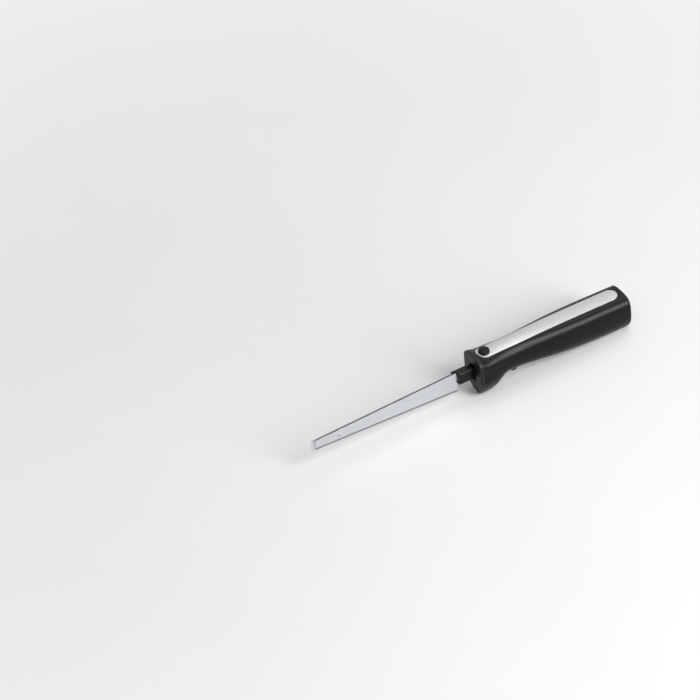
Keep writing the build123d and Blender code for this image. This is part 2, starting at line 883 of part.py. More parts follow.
# Gear frame
flange_front = frame_rear - frame_wall
with BuildPart() as gear_frame:
    add(slab(frame_front, frame_rear, -bridge_half_width, bridge_half_width, bridge_bottom,
             bridge_bottom + bridge_thickness))
    for side in (-1, 1):
        add(slab(frame_front, rear_wall_x, min(side * cheek_inner, side * cheek_outer),
                 max(side * cheek_inner, side * cheek_outer), wheel_z - cheek_bottom, bridge_bottom))
    add(slab(frame_front, frame_front + frame_wall, -cheek_outer, cheek_outer, front_wall_bottom,
             bridge_bottom))
    add(slab(rear_wall_x, rear_wall_x + frame_wall, -rear_wall_half_width, rear_wall_half_width,
             motor_flange_bottom, bridge_bottom))
    add(slab(rear_wall_x, rear_wall_x + frame_wall, -spring_tab_half_width, spring_tab_half_width,
             spring_tab_z, motor_flange_bottom))
    add(shaft(motor_flange_radius, flange_front, frame_rear, motor_z))
    add(slab(flange_front, frame_rear, -motor_flange_radius, motor_flange_radius,
             motor_z - motor_flange_radius, motor_flange_bottom), mode=Mode.SUBTRACT)
    add(shaft(worm_outer_radius + body_gap, frame_front + frame_wall, rear_wall_x, motor_z),
        mode=Mode.SUBTRACT)
    add(shaft(bush_radius, frame_front, rear_wall_x + frame_wall, motor_z), mode=Mode.SUBTRACT)
    add(shaft(boss_radius + seat_gap, flange_front, frame_rear, motor_z), mode=Mode.SUBTRACT)
    add(rod(axle_radius + fit, wheel_x, wheel_z, -cheek_outer, cheek_outer), mode=Mode.SUBTRACT)
    for side in (-1, 1):
        add(shaft(small_screw_radius, flange_front, frame_rear, motor_z, side * motor_screw_y),
            mode=Mode.SUBTRACT)


def bush(radius, x_low, x_high):
    """Plain bush round the motor's shaft."""
    with BuildPart() as ring:
        add(shaft(radius, x_low, x_high, motor_z))
        add(shaft(shaft_radius + fit, x_low, x_high, motor_z), mode=Mode.SUBTRACT)
    return ring.part


with BuildPart() as shaft_bush_front:
    add(bush(bush_radius, frame_front, frame_front + frame_wall))

with BuildPart() as shaft_bush_rear:
    add(bush(bush_radius, rear_wall_x, rear_wall_x + frame_wall))

# Worm wheel on its axle, with a tooth gap at the top under the worm
tooth_half = tooth_share * worm_pitch / 4
flank = tan(radians(pressure_angle))
addendum = gear_module
dedendum = 1.2 * gear_module
with BuildPart() as worm_wheel:
    with BuildSketch(upright(wheel_half_width)):
        with Locations((wheel_x, wheel_z)):
            Circle(wheel_pitch_radius - dedendum)
            with PolarLocations(0, wheel_teeth, start_angle=90 + 180 / wheel_teeth):
                tooth_low = wheel_pitch_radius - dedendum - addendum / 2
                Polygon((tooth_low, tooth_half + flank * dedendum),
                        (tooth_low, -tooth_half - flank * dedendum),
                        (wheel_pitch_radius - dedendum, -tooth_half - flank * dedendum),
                        (wheel_pitch_radius + addendum, -tooth_half + flank * addendum),
                        (wheel_pitch_radius + addendum, tooth_half - flank * addendum),
                        (wheel_pitch_radius - dedendum, tooth_half + flank * dedendum),
                        align=None)
            Circle(axle_radius, mode=Mode.SUBTRACT)
    extrude(amount=2 * wheel_half_width)

with BuildPart() as wheel_axle:
    add(rod(axle_radius, wheel_x, wheel_z, -disc_outer, disc_outer))


def crank(side):
    """Crank disc on the axle's end, with its pin; the two pins stand opposite."""
    pin_x = wheel_x - side * crank_radius * sin(crank_rest)
    pin_z = wheel_z - side * crank_radius * cos(crank_rest)
    low, high = sorted((side * disc_inner, side * disc_outer))
    pin_low, pin_high = sorted((side * disc_outer, side * pin_end))
    with BuildPart() as disc:
        add(rod(crank_disc_radius, wheel_x, wheel_z, low, high))
        add(rod(axle_radius, wheel_x, wheel_z, low, high), mode=Mode.SUBTRACT)
        add(rod(pin_radius, pin_x, pin_z, pin_low, pin_high))
    return disc.part


with BuildPart() as crank_left:
    add(crank(-1))

with BuildPart() as crank_right:
    add(crank(1))

# Worm on the motor's shaft, its thread in the wheel's upper gap
turns_ahead = int((wheel_x - worm_start) / worm_pitch)
thread_start = wheel_x - (turns_ahead + 1 / 2) * worm_pitch
thread_length = int((worm_end - thread_start - worm_pitch / 4) / worm_pitch) * worm_pitch
with BuildPart() as worm:
    add(shaft(worm_root_radius, worm_start, worm_end, motor_z))
    with BuildLine():
        path = Helix(worm_pitch, thread_length, worm_root_radius, center=(thread_start, 0, motor_z),
                     direction=(1, 0, 0), lefthand=True)
    start = path @ 0
    outward = start - Vector(start.X, 0, motor_z)
    with BuildSketch(Plane(origin=start, x_dir=outward, z_dir=path % 0)):
        height = worm_outer_radius - worm_root_radius
        base_half = tooth_half + flank * (worm_pitch_radius - worm_root_radius)
        crest_half = tooth_half - flank * (worm_outer_radius - worm_pitch_radius)
        Polygon((-height / 4, -base_half), (height, -crest_half), (height, crest_half),
                (-height / 4, base_half), align=None)
    sweep(path=path, is_frenet=True)
    add(shaft(shaft_radius, worm_start, worm_end, motor_z), mode=Mode.SUBTRACT)

# Motor's shaft and rotor
with BuildPart() as motor_shaft:
    add(shaft(shaft_radius, frame_front, cap_rear + end_cap_boss, motor_z))

core_front = magnet_front + (magnet_length - core_length) / 2
core_rear = core_front + core_length
with BuildPart() as armature_core:
    with BuildSketch(across(core_front)):
        with Locations((0, motor_z)):
            Circle(armature_radius)
            Circle(armature_radius - tooth_cap, mode=Mode.SUBTRACT)
            with PolarLocations(0, core_teeth, start_angle=180 / core_teeth):
                with Locations((armature_radius, 0)):
                    Rectangle(2 * tooth_cap + slot_opening, slot_opening, mode=Mode.SUBTRACT)
            Circle(core_hub_radius)
            with PolarLocations(0, core_teeth):
                with Locations((armature_radius / 2, 0)):
                    Rectangle(armature_radius - tooth_cap / 2, tooth_width)
            Circle(shaft_radius, mode=Mode.SUBTRACT)
    extrude(amount=core_length)

with BuildPart() as armature_winding:
    for x in (core_front - winding_length, core_rear):
        with BuildSketch(across(x)):
            with Locations((0, motor_z)):
                with PolarLocations((armature_radius + core_hub_radius) / 2 - tooth_cap / 2, core_teeth):
                    SlotOverall(2 * core_hub_radius, core_hub_radius, rotation=90)
                Circle(core_hub_radius)
                Circle(shaft_radius, mode=Mode.SUBTRACT)
        extrude(amount=winding_length)

commutator_front = core_rear + winding_length
with BuildPart() as commutator:
    with BuildSketch(across(commutator_front)):
        with Locations((0, motor_z)):
            Circle(commutator_radius)
            with PolarLocations(commutator_radius, commutator_bars):
                Rectangle(bar_gap * 2, bar_gap, mode=Mode.SUBTRACT)
            Circle(shaft_radius, mode=Mode.SUBTRACT)
    extrude(amount=commutator_length)

fan_blade_middle = (fan_radius + fan_hub_radius) / 2 - fan_blade_thickness
with BuildPart() as cooling_fan:
    with BuildSketch(across(fan_front)):
        with Locations((0, motor_z)):
            Circle(fan_radius)
            Circle(shaft_radius, mode=Mode.SUBTRACT)
    extrude(amount=fan_disc)
    with BuildSketch(across(fan_front + fan_disc)):
        with Locations((0, motor_z)):
            Circle(fan_hub_radius)
            with PolarLocations(fan_blade_middle, fan_blades):
                Rectangle(fan_radius - fan_hub_radius, fan_blade_thickness)
            Circle(shaft_radius, mode=Mode.SUBTRACT)
    extrude(amount=fan_length - fan_disc)

# Motor's can with its front boss, magnets, end cap and brushes
can_inner = motor_radius - can_wall
with BuildPart() as motor_can:
    add(shaft(motor_radius, motor_front, motor_rear, motor_z))
    add(shaft(boss_radius, motor_front - boss_length, motor_front, motor_z))
    add(shaft(can_inner, motor_front + can_wall, motor_rear, motor_z), mode=Mode.SUBTRACT)
    add(shaft(motor_bush_radius, motor_front - boss_length, motor_front + can_wall, motor_z),
        mode=Mode.SUBTRACT)
    for side in (-1, 1):
        add(shaft(small_screw_radius, motor_front, motor_front + can_wall, motor_z,
                  side * motor_screw_y), mode=Mode.SUBTRACT)

with BuildPart() as motor_bush_front:
    add(bush(motor_bush_radius, motor_front - boss_length, motor_front + can_wall))

with BuildPart() as field_magnets:
    with BuildSketch(across(magnet_front)):
        with Locations((0, motor_z)):
            Circle(can_inner)
            Circle(can_inner - magnet_thickness, mode=Mode.SUBTRACT)
            gap_half = can_inner * cos(radians(magnet_angle / 2))
            Rectangle(2 * gap_half, 2 * motor_radius, mode=Mode.SUBTRACT)
    extrude(amount=magnet_length)

brush_x = commutator_front + commutator_length / 2
brush_near = commutator_radius + brush_gap
with BuildPart() as motor_end_cap:
    add(shaft(motor_radius, motor_rear, cap_rear, motor_z))
    add(shaft(can_inner, motor_rear, cap_rear - end_cap_wall, motor_z), mode=Mode.SUBTRACT)
    add(shaft(boss_radius, cap_rear - motor_bush_length, cap_rear + end_cap_boss, motor_z))
    add(shaft(motor_bush_radius, cap_rear - motor_bush_length, cap_rear + end_cap_boss, motor_z),
        mode=Mode.SUBTRACT)

with BuildPart() as motor_bush_rear:
    add(bush(motor_bush_radius, cap_rear - motor_bush_length, cap_rear + end_cap_boss))

with BuildPart() as carbon_brushes:
    for side in (-1, 1):
        low, high = sorted((side * brush_near, side * (brush_near + brush_length)))
        add(slab(brush_x - brush_width / 2, brush_x + brush_width / 2, low, high,
                 motor_z - brush_height / 2, motor_z + brush_height / 2))
    add(shaft(brush_near, commutator_front, cap_rear, motor_z), mode=Mode.SUBTRACT)

with BuildPart() as brush_holders:
    for side in (-1, 1):
        low, high = sorted((side * (brush_near + brush_length / 3), side * can_inner))
        add(slab(brush_x - brush_width / 2 - holder_wall, brush_x + brush_width / 2 + holder_wall,
                 low, high, motor_z - brush_height / 2 - holder_wall,
                 motor_z + brush_height / 2 + holder_wall))
        add(slab(brush_x - brush_width / 2, brush_x + brush_width / 2, low, high,
                 motor_z - brush_height / 2, motor_z + brush_height / 2), mode=Mode.SUBTRACT)
    add(shaft(can_inner, commutator_front, cap_rear, motor_z), mode=Mode.INTERSECT)

with BuildPart() as motor_screws:
    for side in (-1, 1):
        add(shaft(small_head_radius, flange_front - small_head_height, flange_front, motor_z,
                  side * motor_screw_y))
        add(shaft(small_screw_radius, flange_front, motor_front + can_wall, motor_z,
                  side * motor_screw_y))

# Trigger lever with its nub, the hinge pin and the return spring
lever_bottom = -lever_top - lever_thickness
with BuildPart() as trigger:
    with BuildSketch(upright(trigger_half_width)):
        with BuildLine():
            nub_low = -trigger_drop
            Polyline((trigger_front, -lever_top), (trigger_front, nub_low + trigger_length / 3))
            ThreePointArc((trigger_front, nub_low + trigger_length / 3),
                          (trigger_front + trigger_length / 8, nub_low + trigger_length / 12),
                          (trigger_front + trigger_length / 3, nub_low))
            Polyline((trigger_front + trigger_length / 3, nub_low),
                     (trigger_rear - trigger_length / 4, nub_low + trigger_length / 12),
                     (trigger_rear, nub_low + trigger_length / 3), (trigger_rear, lever_bottom),
                     (hinge_x, lever_bottom), (hinge_x, -lever_top), (trigger_front, -lever_top))
        make_face()
    extrude(amount=2 * trigger_half_width)
    add(rod(hinge_eye_radius, hinge_x, hinge_z, -trigger_half_width, trigger_half_width))
    add(rod(hinge_pin_radius + fit, hinge_x, hinge_z, -trigger_half_width, trigger_half_width),
        mode=Mode.SUBTRACT)
    nub_edges = trigger.edges().filter_by(
        lambda edge: edge.bounding_box().max.Z < lever_bottom - lever_thickness
        and edge.bounding_box().size.Y < fit
    )
    fillet(nub_edges, trigger_round / 2)

with BuildPart() as trigger_pin:
    add(rod(hinge_pin_radius, hinge_x, hinge_z, -hinge_pin_half_length, hinge_pin_half_length))

with BuildPart() as trigger_spring:
    add(coil_spring(return_x, -lever_top, spring_tab_z, return_radius, return_wire, return_turns))

# Trigger's switch
plunger_low = -lever_top + plunger_gap
with BuildPart() as switch_body:
    add(slab(switch_front, switch_rear, -switch_half_width, switch_half_width, -switch_bottom,
             switch_top))
    for x, z in peg_places:
        add(rod(peg_radius, x, z, -switch_half_width, switch_half_width), mode=Mode.SUBTRACT)
    add(post(plunger_radius + fit, plunger_x, 0, -switch_bottom,
             -switch_bottom + 2 * plunger_inside), mode=Mode.SUBTRACT)

with BuildPart() as switch_plunger:
    add(post(plunger_radius, plunger_x, 0, plunger_low, -switch_bottom + plunger_inside))
    fillet(switch_plunger.edges().group_by(Axis.Z)[0], plunger_radius / 2)

with BuildPart() as switch_terminals:
    for share in (1 / 4, 1 / 2, 3 / 4):
        x = switch_front + switch_length * share
        add(slab(x - drive_slot / 2, x + drive_slot / 2, -plunger_radius, plunger_radius,
                 switch_top, switch_top + terminal_height))

# Circuit board and what it carries
with BuildPart() as circuit_board:
    add(slab(board_front, board_rear, -board_half_width, board_half_width, board_bottom, board_top))

rectifier_x = board_front + board_length * 0.16
with BuildPart() as bridge_rectifier:
    add(slab(rectifier_x, rectifier_x + rectifier_size, board_half_width * 0.15,
             board_half_width * 0.15 + rectifier_size * 0.7, board_top, board_top + rectifier_height))
    chamfer(bridge_rectifier.edges().filter_by(Axis.Z).sort_by(Axis.X)[0], rectifier_size / 8)

capacitor_x = board_front + board_length * 0.42
with BuildPart() as suppression_capacitor:
    add(slab(capacitor_x, capacitor_x + capacitor_length, -board_half_width * 0.85,
             -board_half_width * 0.85 + capacitor_width, board_top, board_top + capacitor_height))
    fillet(suppression_capacitor.edges().filter_by(Axis.Z), capacitor_round)

with BuildPart() as choke_coils:
    for i in range(2):
        y = choke_radius * (2.3 * i + 0.4)
        add(shaft(choke_radius, capacitor_x, capacitor_x + capacitor_length, board_top + choke_radius,
                  y + choke_radius / 2))

with BuildPart() as terminal_block:
    add(slab(board_rear - block_length - rail_thickness, board_rear - rail_thickness,
             -block_half_width, block_half_width, board_top, board_top + block_height))
    for side in (-1, 1):
        add(post(screw_radius, board_rear - rail_thickness - block_length / 2,
                 side * block_half_width / 2, board_top + block_height / 2,
                 board_top + block_height), mode=Mode.SUBTRACT)


def lead_pair(points):
    """Two insulated leads, one on each side, on straight runs joined by bends."""
    with BuildPart() as leads:
        for side in (-1, 1):
            route = [(x, side * y, z) for x, y, z in points]
            with BuildLine():
                path = FilletPolyline(*route, radius=lead_bend)
            with BuildSketch(Plane(origin=path @ 0, z_dir=path % 0)):
                Circle(lead_radius)
            sweep(path=path)
    return leads.part


lead_rest = board_top + lead_radius
with BuildPart() as switch_leads:
    add(lead_pair([
        (switch_rear - 2 * lead_bend, switch_half_width, lead_start_z),
        (switch_rear - 2 * lead_bend, lead_y, lead_start_z),
        (switch_rear + lead_bend, lead_y, lead_rest),
        (rectifier_x - rail_thickness, lead_y, lead_rest),
    ]))

with BuildPart() as motor_leads:
    add(lead_pair([
        (cap_rear, boss_radius + lead_radius, motor_z - motor_radius / 2),
        (cap_rear + 2 * lead_bend, boss_radius + lead_radius, motor_z - motor_radius / 2),
        (cap_rear + 2 * lead_bend, boss_radius + lead_radius, lead_rest),
        (rectifier_x - lead_radius, boss_radius + lead_radius, lead_rest),
    ]))

# Cord inlet and clamp
inner_end = handle_length - rear_wall
with BuildPart() as cord_gland:
    add(shaft(gland_flange_radius, inner_end - gland_inner_length, inner_end, inlet_z))
    add(shaft(gland_neck_radius, inner_end, handle_length, inlet_z))
    add(shaft(gland_flange_radius, handle_length, handle_length + gland_outer_length, inlet_z))
    outer_rim = cord_gland.edges().filter_by(GeomType.CIRCLE).sort_by(Axis.X)[-1]
    fillet(outer_rim, gland_outer_length / 2)
    add(shaft(gland_bore, inner_end - gland_inner_length, handle_length + gland_outer_length,
              inlet_z), mode=Mode.SUBTRACT)

with BuildPart() as cord_clamp:
    add(slab(clamp_x - clamp_width / 2, clamp_x + clamp_width / 2, clamp_face,
             clamp_face + clamp_thickness, inlet_z - clamp_reach, inlet_z + clamp_reach))
    fillet(cord_clamp.edges().filter_by(Axis.Y), clamp_width / 4)
    for x, z in clamp_places:
        add(rod(small_screw_radius, x, z, clamp_face, clamp_face + clamp_thickness),
            mode=Mode.SUBTRACT)

with BuildPart() as clamp_screws:
    for x, z in clamp_places:
        head_face = clamp_face + clamp_thickness
        add(rod(small_screw_radius, x, z, clamp_face - clamp_pilot, head_face))
        add(rod(small_head_radius, x, z, head_face, head_face + small_head_height))

# Handle screws, put in from the right side
with BuildPart() as handle_screws:
    for x, z in post_places:
        add(rod(screw_radius, x, z, -screw_reach, screw_seat))
        add(rod(screw_head_radius, x, z, screw_seat, screw_seat + screw_head_height))
        head_top = screw_seat + screw_head_height
        add(slab(x - drive_slot / 2, x + drive_slot / 2, head_top - drive_slot, head_top,
                 z - screw_head_radius, z + screw_head_radius), mode=Mode.SUBTRACT)

pieces = {
    "handle_shell_left": handle_shell_left,
    "handle_shell_right": handle_shell_right,
    "nose_plate": nose_plate,
    "top_inlay": top_inlay,
    "release_button": release_button,
    "button_spring": button_spring,
    "blade_left": blade_left,
    "blade_right": blade_right,
    "tip_rivet": tip_rivet,
    "hilt_left": hilt_left,
    "hilt_right": hilt_right,
    "drive_slider_left": drive_slider_left,
    "drive_slider_right": drive_slider_right,
    "latch_clip_left": latch_clip_left,
    "latch_clip_right": latch_clip_right,
    "slider_guide": slider_guide,
    "gear_frame": gear_frame,
    "shaft_bush_front": shaft_bush_front,
    "shaft_bush_rear": shaft_bush_rear,
    "worm_wheel": worm_wheel,
    "wheel_axle": wheel_axle,
    "crank_left": crank_left,
    "crank_right": crank_right,
    "worm": worm,
    "motor_shaft": motor_shaft,
    "armature_core": armature_core,
    "armature_winding": armature_winding,
    "commutator": commutator,
    "cooling_fan": cooling_fan,
    "motor_can": motor_can,
    "motor_bush_front": motor_bush_front,
    "field_magnets": field_magnets,
    "motor_end_cap": motor_end_cap,
    "motor_bush_rear": motor_bush_rear,
    "carbon_brushes": carbon_brushes,
    "brush_holders": brush_holders,
    "motor_screws": motor_screws,
    "trigger": trigger,
    "trigger_pin": trigger_pin,
    "trigger_spring": trigger_spring,
    "switch_body": switch_body,
    "switch_plunger": switch_plunger,
    "switch_terminals": switch_terminals,
    "circuit_board": circuit_board,
    "bridge_rectifier": bridge_rectifier,
    "suppression_capacitor": suppression_capacitor,
    "choke_coils": choke_coils,
    "terminal_block": terminal_block,
    "switch_leads": switch_leads,
    "motor_leads": motor_leads,
    "cord_gland": cord_gland,
    "cord_clamp": cord_clamp,
    "clamp_screws": clamp_screws,
    "handle_screws": handle_screws,
}

# Stood on the guard's and the belly's flats, with the box's bottom centre at the origin
level = Rot(0, rest_tilt, 0)
boxes = [(level * piece.part).bounding_box() for piece in pieces.values()]
low = [min(tuple(box.min)[axis] for box in boxes) for axis in range(3)]
high = [max(tuple(box.max)[axis] for box in boxes) for axis in range(3)]
stand = Pos(-(low[0] + high[0]) / 2, -(low[1] + high[1]) / 2, -low[2]) * level

for label, piece in pieces.items():
    standing = stand * piece.part
    standing.label = label
    export_step(standing, "parts/" + label + ".step")
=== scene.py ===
import json
from math import cos, radians, sin

import bpy
from mathutils import Matrix, Vector

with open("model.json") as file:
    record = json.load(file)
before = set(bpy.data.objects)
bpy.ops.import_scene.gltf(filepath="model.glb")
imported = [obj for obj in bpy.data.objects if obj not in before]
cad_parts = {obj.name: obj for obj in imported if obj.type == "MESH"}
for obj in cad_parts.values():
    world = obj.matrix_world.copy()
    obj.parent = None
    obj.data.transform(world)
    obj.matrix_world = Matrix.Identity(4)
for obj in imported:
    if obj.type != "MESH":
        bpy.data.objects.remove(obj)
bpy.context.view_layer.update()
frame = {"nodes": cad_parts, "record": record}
nodes = frame["nodes"]
record = frame["record"]
scene = bpy.context.scene

# Camera: a long lens high in front of the blades, rolled as the picture on the carton is
TARGET = Vector((-0.09519, 0.14216, 0.030))
DISTANCE = 6.0
AZIMUTH = radians(24.637)
ELEVATION = radians(41.0)
ROLL = radians(-9.053)
LENS = 239.749
SENSOR = 36.0
FAR_CLIP = 50.0

# Noise of the materials: scales per metre, where it starts and stops to count, and its octaves
NOISE_START = 0.3
NOISE_STOP = 0.7
LINES_STOP = 0.72
EVEN = (1, 1, 1)
COARSE = 2
MEDIUM = 3
FINE = 4
NOISE_ROUGHNESS = 0.55
GRIND_ROUGHNESS = 0.6
LINES_ROUGHNESS = 0.7

# Moulded plastic: tones as factors of its colour, sheen as steps from its roughness, lengths in metres
MOULD_DRIFT = 70.0
MOULD_SHEEN = 220.0
MOULD_GRAIN = 1600.0
MOULD_TONES = (0.9, 1.12)
MOULD_ROUGHNESS = (-0.03, 0.04)
MOULD_RELIEF = 0.15
MOULD_EDGE = 0.0003
FINE_DEPTH = 0.00002

# Brushed metal, its lines drawn along the part
BRUSH_LINES = 5200.0
BRUSH_STRETCH = (0.02, 1, 1)
BRUSH_TONES = (0.86, 1.08)
BRUSH_ROUGHNESS = (-0.07, 0.1)
BRUSH_RELIEF = 0.3
METAL_EDGE = 0.0002

# Turned, cast or stamped metal
METAL_BLOTCHES = 150.0
METAL_SHEEN = 900.0
METAL_MARKS = 1800.0
METAL_TONES = (0.82, 1.1)
METAL_ROUGHNESS = (-0.08, 0.1)
METAL_RELIEF = 0.2

# Blades: fine lines along the flat, a coarser grind across the bevel darkened with painted shade, and
# painted shade on the spine
BLADE_LINES = 4600.0
BLADE_STRETCH = (0.015, 1, 1)
BLADE_FLAT = ((0.56, 0.575, 0.60), (0.73, 0.745, 0.77))
GRIND_LINES = 2600.0
GRIND_STRETCH = (1, 0.2, 0.12)
# Bevel tones: the coarser grind is real, their darkness is painted shade
BEVEL_GRIND_AND_SHADE = ((0.16, 0.16, 0.165), (0.34, 0.34, 0.345))
# Spine tones: painted shade, near black
SPINE_SHADE = ((0.07, 0.07, 0.07), (0.13, 0.13, 0.13))
BLADE_ROUGHNESS = (0.24, 0.40)
BLADE_RELIEF = 0.25
BLADE_EDGE = 0.00015
BEVEL_SAMPLES = 6

# Upward share of the surface normal at which a blade turns from flat to the bevel's painted shade and
# to the spine's painted shade
BEVEL_FULL = -0.17
BEVEL_NONE = -0.12
SPINE_NONE = 0.80
SPINE_FULL = 0.90

# Floor, world and the distance over which the floor fades to white
FLOOR_SIZE = 8.0
FLOOR_ROUGHNESS = 0.8
FLOOR_SPECULAR = 0.05
FLOOR_NOISE = 3.0
FLOOR_GREYS = ((0.85, 0.85, 0.85), (0.87, 0.87, 0.87))
FADE_START = 0.25
FADE_STOP = 1.9
WHITE = (1, 1, 1, 1)
WORLD_LIGHT = 0.30
BACKDROP = 1.0

# Lamps: name, place, point that it faces, width and height in metres, and power in watts
LAMPS = (
    ("key", (-2.25, -2.75, 4.25), (0, 0, 0), 2.25, 2.25, 16),
    ("low", (1.9, -4.1, 2.1), (0.13, 0, 0.04), 2.0, 4.0, 235),
    ("front", (0.50, -1.37, 1.92), (0.05, 0, 0.05), 0.7, 0.6, 12),
    ("top", (1.95, 0.65, 3.95), (0.1, 0, 0.05), 3.2, 3.5, 46),
)


def make_camera():
    toward = Vector((-sin(AZIMUTH) * cos(ELEVATION), -cos(AZIMUTH) * cos(ELEVATION), sin(ELEVATION)))
    level_right = (-toward).cross(Vector((0, 0, 1))).normalized()
    level_up = level_right.cross(-toward)
    right = level_right * cos(ROLL) + level_up * sin(ROLL)
    up = -level_right * sin(ROLL) + level_up * cos(ROLL)
    turn = Matrix((right, up, toward)).transposed().to_4x4()
    data = bpy.data.cameras.new("photo_camera")
    data.lens = LENS
    data.sensor_width = SENSOR
    data.sensor_fit = "HORIZONTAL"
    data.clip_end = FAR_CLIP
    camera = bpy.data.objects.new("photo_camera", data)
    camera.matrix_world = Matrix.Translation(TARGET + toward * DISTANCE) @ turn
    scene.collection.objects.link(camera)
    scene.camera = camera


class Shader:
    """A principled material with helpers for its procedural detail."""

    def __init__(self, name, rough, metal=0.0, specular=0.5):
        self.material = bpy.data.materials.new(name)
        self.material.use_nodes = True
        self.tree = self.material.node_tree
        self.bsdf = self.tree.nodes["Principled BSDF"]
        self.bsdf.inputs["Roughness"].default_value = rough
        self.bsdf.inputs["Metallic"].default_value = metal
        self.bsdf.inputs["Specular IOR Level"].default_value = specular
        self.coords = self.tree.nodes.new("ShaderNodeTexCoord")

    def join(self, source, target):
        self.tree.links.new(source, target)

    def noise(self, scale, detail, stretch=EVEN, roughness=NOISE_ROUGHNESS):
        mapping = self.tree.nodes.new("ShaderNodeMapping")
        mapping.inputs["Scale"].default_value = stretch
        self.join(self.coords.outputs["Object"], mapping.inputs["Vector"])
        noise = self.tree.nodes.new("ShaderNodeTexNoise")
        noise.inputs["Scale"].default_value = scale
        noise.inputs["Detail"].default_value = detail
        noise.inputs["Roughness"].default_value = roughness
        self.join(mapping.outputs["Vector"], noise.inputs["Vector"])
        return noise.outputs["Fac"]

    def ramp(self, fac, low, high, start=NOISE_START, stop=NOISE_STOP):
        node = self.tree.nodes.new("ShaderNodeValToRGB")
        node.color_ramp.elements[0].position = start
        node.color_ramp.elements[1].position = stop
        node.color_ramp.elements[0].color = (*low, 1)
        node.color_ramp.elements[1].color = (*high, 1)
        self.join(fac, node.inputs["Fac"])
        return node.outputs["Color"]

    def spread(self, value, low, high, start=NOISE_START, stop=NOISE_STOP, smooth=False):
        node = self.tree.nodes.new("ShaderNodeMapRange")
        if smooth:
            node.interpolation_type = "SMOOTHSTEP"
        node.inputs["From Min"].default_value = start
        node.inputs["From Max"].default_value = stop
        node.inputs["To Min"].default_value = low
        node.inputs["To Max"].default_value = high
        self.join(value, node.inputs["Value"])
        return node.outputs["Result"]

    def mix(self, fac, one, two):
        node = self.tree.nodes.new("ShaderNodeMix")
        node.data_type = "RGBA"
        self.join(fac, node.inputs["Factor"])
        self.join(one, node.inputs["A"])
        self.join(two, node.inputs["B"])
        return node.outputs["Result"]

    def bump(self, height, strength, depth, edge):
        """Relief of the height over a rounded edge."""
        node = self.tree.nodes.new("ShaderNodeBump")
        node.inputs["Strength"].default_value = strength
        node.inputs["Distance"].default_value = depth
        self.join(height, node.inputs["Height"])
        bevel = self.tree.nodes.new("ShaderNodeBevel")
        bevel.samples = BEVEL_SAMPLES
        bevel.inputs["Radius"].default_value = edge
        self.join(bevel.outputs["Normal"], node.inputs["Normal"])
        self.join(node.outputs["Normal"], self.bsdf.inputs["Normal"])

    def geometry(self, output):
        return self.tree.nodes.new("ShaderNodeNewGeometry").outputs[output]

    def colour(self, source):
        self.join(source, self.bsdf.inputs["Base Color"])

    def rough(self, source):
        self.join(source, self.bsdf.inputs["Roughness"])


def tones(colour, factors):
    """A darker and a lighter tone of the colour."""
    return [tuple(min(1.0, part * factor) for part in colour) for factor in factors]


def steps(middle, offsets):
    return [middle + offset for offset in offsets]


def moulded(name, colour, rough, grain=MOULD_GRAIN, depth=FINE_DEPTH, edge=MOULD_EDGE, specular=0.5):
    """Moulded plastic: a fine spark-eroded grain, and a slow drift of tone and sheen."""
    s = Shader(name, rough, specular=specular)
    s.colour(s.ramp(s.noise(MOULD_DRIFT, COARSE), *tones(colour, MOULD_TONES)))
    s.rough(s.spread(s.noise(MOULD_SHEEN, FINE), *steps(rough, MOULD_ROUGHNESS)))
    s.bump(s.noise(grain, COARSE), MOULD_RELIEF, depth, edge)
    return s.material


def brushed(name, colour, rough, stretch=BRUSH_STRETCH, scale=BRUSH_LINES):
    """Metal with fine lines drawn along one direction."""
    s = Shader(name, rough, metal=1.0)
    lines = s.noise(scale, FINE, stretch, LINES_ROUGHNESS)
    s.colour(s.ramp(lines, *tones(colour, BRUSH_TONES), stop=LINES_STOP))
    s.rough(s.spread(lines, *steps(rough, BRUSH_ROUGHNESS)))
    s.bump(lines, BRUSH_RELIEF, FINE_DEPTH, METAL_EDGE)
    return s.material


def metal_part(name, colour, rough):
    """Turned, cast or stamped metal: blotches and fine tool marks."""
    s = Shader(name, rough, metal=1.0)
    s.colour(s.ramp(s.noise(METAL_BLOTCHES, FINE), *tones(colour, METAL_TONES)))
    s.rough(s.spread(s.noise(METAL_SHEEN, MEDIUM), *steps(rough, METAL_ROUGHNESS)))
    s.bump(s.noise(METAL_MARKS, MEDIUM), METAL_RELIEF, FINE_DEPTH, METAL_EDGE)
    return s.material


def blade_steel(name):
    """Ground blade: lines along the flat, a coarser grind on the bevel darkened with painted shade,
    and painted shade on the spine.
    """
    s = Shader(name, BLADE_ROUGHNESS[0], metal=1.0)
    lines = s.noise(BLADE_LINES, FINE, BLADE_STRETCH, LINES_ROUGHNESS)
    grind = s.noise(GRIND_LINES, MEDIUM, GRIND_STRETCH, GRIND_ROUGHNESS)
    flat = s.ramp(lines, *BLADE_FLAT, stop=LINES_STOP)
    # Bevel colour: the real grind texture, darkened with painted shade
    bevel = s.ramp(grind, *BEVEL_GRIND_AND_SHADE)
    # Painted shade on the spine, which faces up
    spine_shade = s.ramp(lines, *SPINE_SHADE)
    split = s.tree.nodes.new("ShaderNodeSeparateXYZ")
    s.join(s.geometry("True Normal"), split.inputs["Vector"])
    upward = split.outputs["Z"]
    # Masks from which way a face points: the downward-tilted bevel gets painted shade, the upward
    # spine too
    bevel_grind_and_shade_mask = s.spread(upward, 1.0, 0.0, BEVEL_FULL, BEVEL_NONE)
    spine_shade_mask = s.spread(upward, 0.0, 1.0, SPINE_NONE, SPINE_FULL)
    # Flat steel, then the bevel's painted shade over its grind, then the spine's painted shade
    s.colour(s.mix(spine_shade_mask, s.mix(bevel_grind_and_shade_mask, flat, bevel), spine_shade))
    s.rough(s.spread(lines, *BLADE_ROUGHNESS))
    s.bump(lines, BLADE_RELIEF, FINE_DEPTH, BLADE_EDGE)
    return s.material


